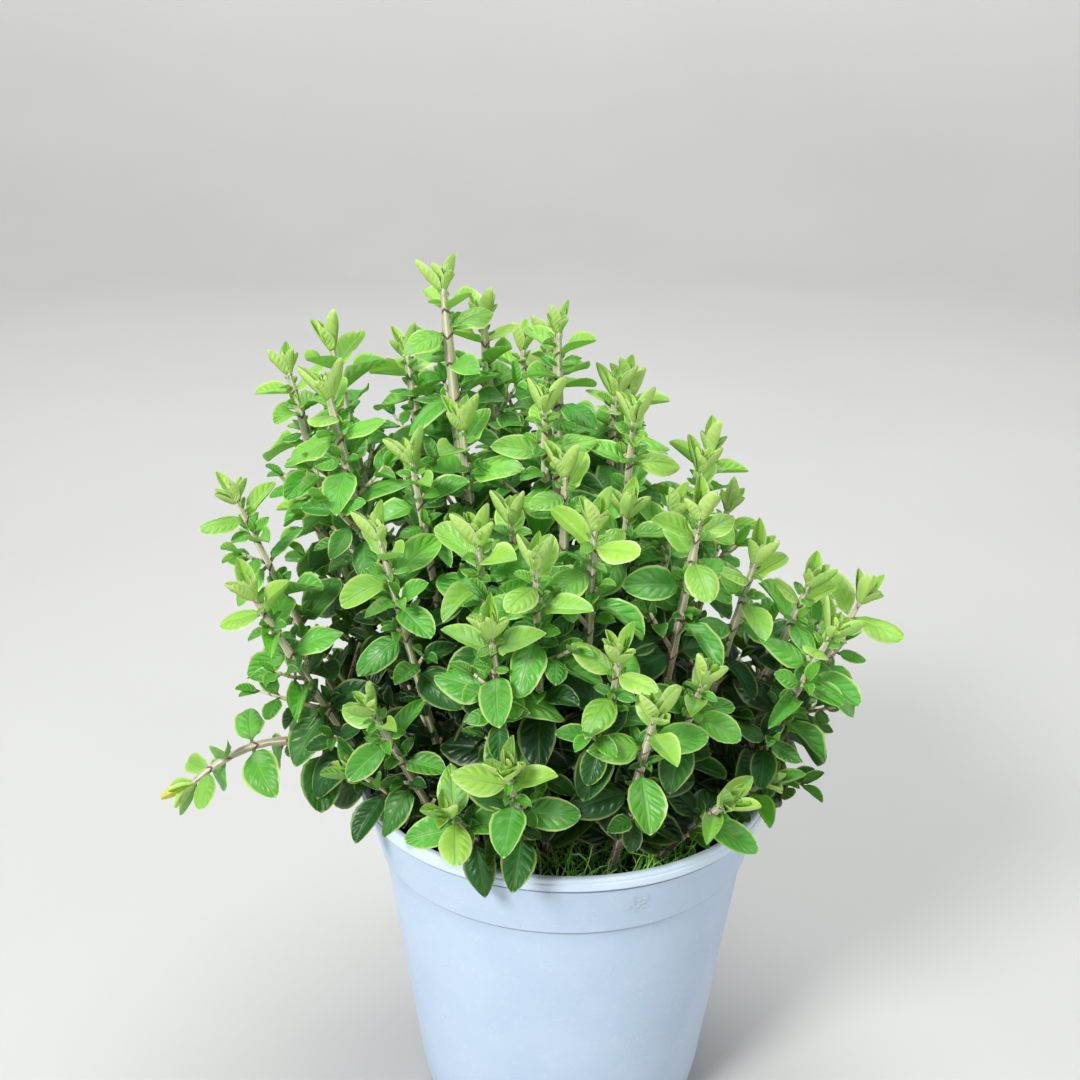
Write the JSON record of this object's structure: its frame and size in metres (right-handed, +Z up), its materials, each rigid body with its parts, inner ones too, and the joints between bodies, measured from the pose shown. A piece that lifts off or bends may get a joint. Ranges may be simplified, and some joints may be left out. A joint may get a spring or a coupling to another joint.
{
  "type": "potted sweet marjoram",
  "caption": "Bushy herb plant with many upright leafy stems, standing in soil in a tapered plastic nursery pot with a collar and a rounded lip.",
  "frame": {"origin": "centre of the pot's base, on the surface it stands on", "axes": "+Z up along the pot's axis, -Y towards the front of the plant, +X to the right seen from the front"},
  "size_m": [0.2228, 0.1864, 0.2746],
  "materials": {
    "pot": "matte",
    "soil": "rough crumbly potting soil",
    "leaf": "soft, finely hairy leaves",
    "weed": "soft thin threads"
  },
  "bodies": {
    "root": {"pot": "pot", "root_ball": "soil", "weed": "weed", "shoot_01": "leaf", "shoot_02": "leaf", "shoot_03": "leaf", "shoot_04": "leaf", "shoot_05": "leaf", "shoot_06": "leaf", "shoot_07": "leaf", "shoot_08": "leaf", "shoot_09": "leaf", "shoot_10": "leaf", "shoot_11": "leaf", "shoot_12": "leaf", "shoot_13": "leaf", "shoot_14": "leaf", "shoot_15": "leaf", "shoot_16": "leaf", "shoot_17": "leaf", "shoot_18": "leaf", "shoot_19": "leaf", "shoot_20": "leaf", "shoot_21": "leaf", "shoot_22": "leaf", "shoot_23": "leaf", "shoot_24": "leaf", "shoot_25": "leaf", "shoot_26": "leaf", "shoot_27": "leaf", "shoot_28": "leaf", "shoot_29": "leaf", "shoot_30": "leaf", "shoot_31": "leaf", "shoot_32": "leaf", "shoot_33": "leaf", "shoot_34": "leaf", "shoot_35": "leaf", "shoot_36": "leaf", "shoot_37": "leaf", "shoot_38": "leaf", "shoot_39": "leaf", "shoot_40": "leaf", "shoot_41": "leaf", "shoot_42": "leaf", "shoot_43": "leaf", "shoot_44": "leaf", "shoot_45": "leaf", "shoot_46": "leaf", "shoot_47": "leaf", "shoot_48": "leaf", "shoot_49": "leaf", "shoot_50": "leaf", "shoot_51": "leaf", "shoot_52": "leaf", "shoot_53": "leaf", "shoot_54": "leaf", "shoot_55": "leaf", "shoot_56": "leaf", "shoot_57": "leaf"}
  },
  "joints": []
}
